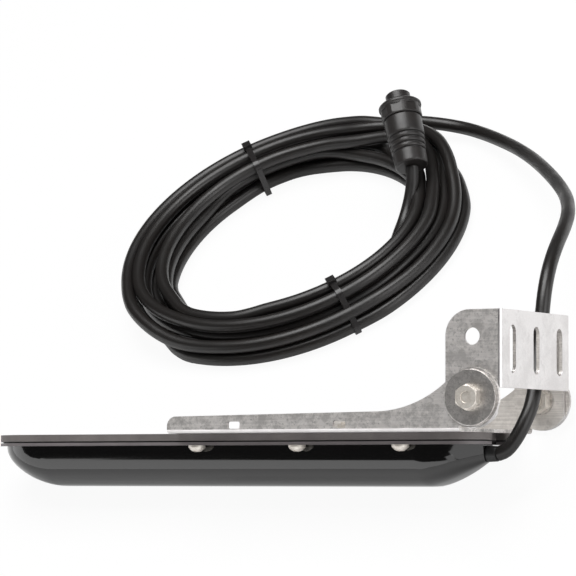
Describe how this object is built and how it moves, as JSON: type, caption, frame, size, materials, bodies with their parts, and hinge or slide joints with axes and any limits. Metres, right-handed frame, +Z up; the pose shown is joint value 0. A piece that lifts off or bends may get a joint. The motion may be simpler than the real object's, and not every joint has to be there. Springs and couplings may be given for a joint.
{
  "type": "sonar transducer",
  "caption": "Long boat-shaped sonar transducer lying on its side, with a stainless tilt bracket at its stern and a cable that runs to a tied coil and a ribbed round plug.",
  "frame": {"origin": "on the floor, under the middle of the transducer and its bracket", "axes": "+X along the hull towards the bracket, +Y towards the coil, +Z up from the floor; the transducer lies rolled onto its +Y side, its mounting plate facing +X"},
  "size_m": [0.2808, 0.2838, 0.0874],
  "materials": {
    "hull": "gloss black moulding",
    "deck": "matte dark grey moulding",
    "seal_rubber": "soft black rubber",
    "foam_carrier": "matte absorber block",
    "element": "matte ceramic bar",
    "board": "coated circuit board",
    "wire": "insulated wire",
    "anchor": "matte block",
    "probe": "turned brass",
    "bracket_steel": "brushed stainless sheet, lightly marked",
    "fastener": "bright plated steel",
    "washer": "plain steel",
    "cable": "smooth black jacket",
    "tie": "black nylon",
    "plug": "matte charcoal moulding",
    "contact": "gold flash"
  },
  "bodies": {
    "transducer": {"hull_shell": "hull", "deck_plate": "deck", "deck_gasket": "seal_rubber", "cable_gland": "seal_rubber", "plug_seal": "seal_rubber", "element_carrier": "foam_carrier", "port_element": "element", "starboard_element": "element", "down_element": "element", "signal_board": "board", "signal_leads": "wire", "cable_anchor": "anchor", "temperature_probe": "probe", "base_bracket": "bracket_steel", "pivot_bolts": "fastener", "pivot_nuts": "fastener", "deck_screws": "fastener", "deck_nuts": "fastener", "pivot_washers": "washer", "small_washers": "washer", "lead_cable": "cable", "cable_coil": "cable", "tail_cable": "cable", "coil_ties": "tie", "plug_body": "plug", "locking_collar": "plug", "plug_barrel": "plug", "contact_pins": "contact"},
    "mount_bracket": {"transom_bracket": "bracket_steel"}
  },
  "joints": [
    {"name": "tilt", "type": "hinge", "parent": "transducer", "child": "mount_bracket", "pos_m": [0.1242, -0.00758, 0.03536], "axis": [0, 0.7323, -0.681], "range_deg": [0, 35]}
  ]
}
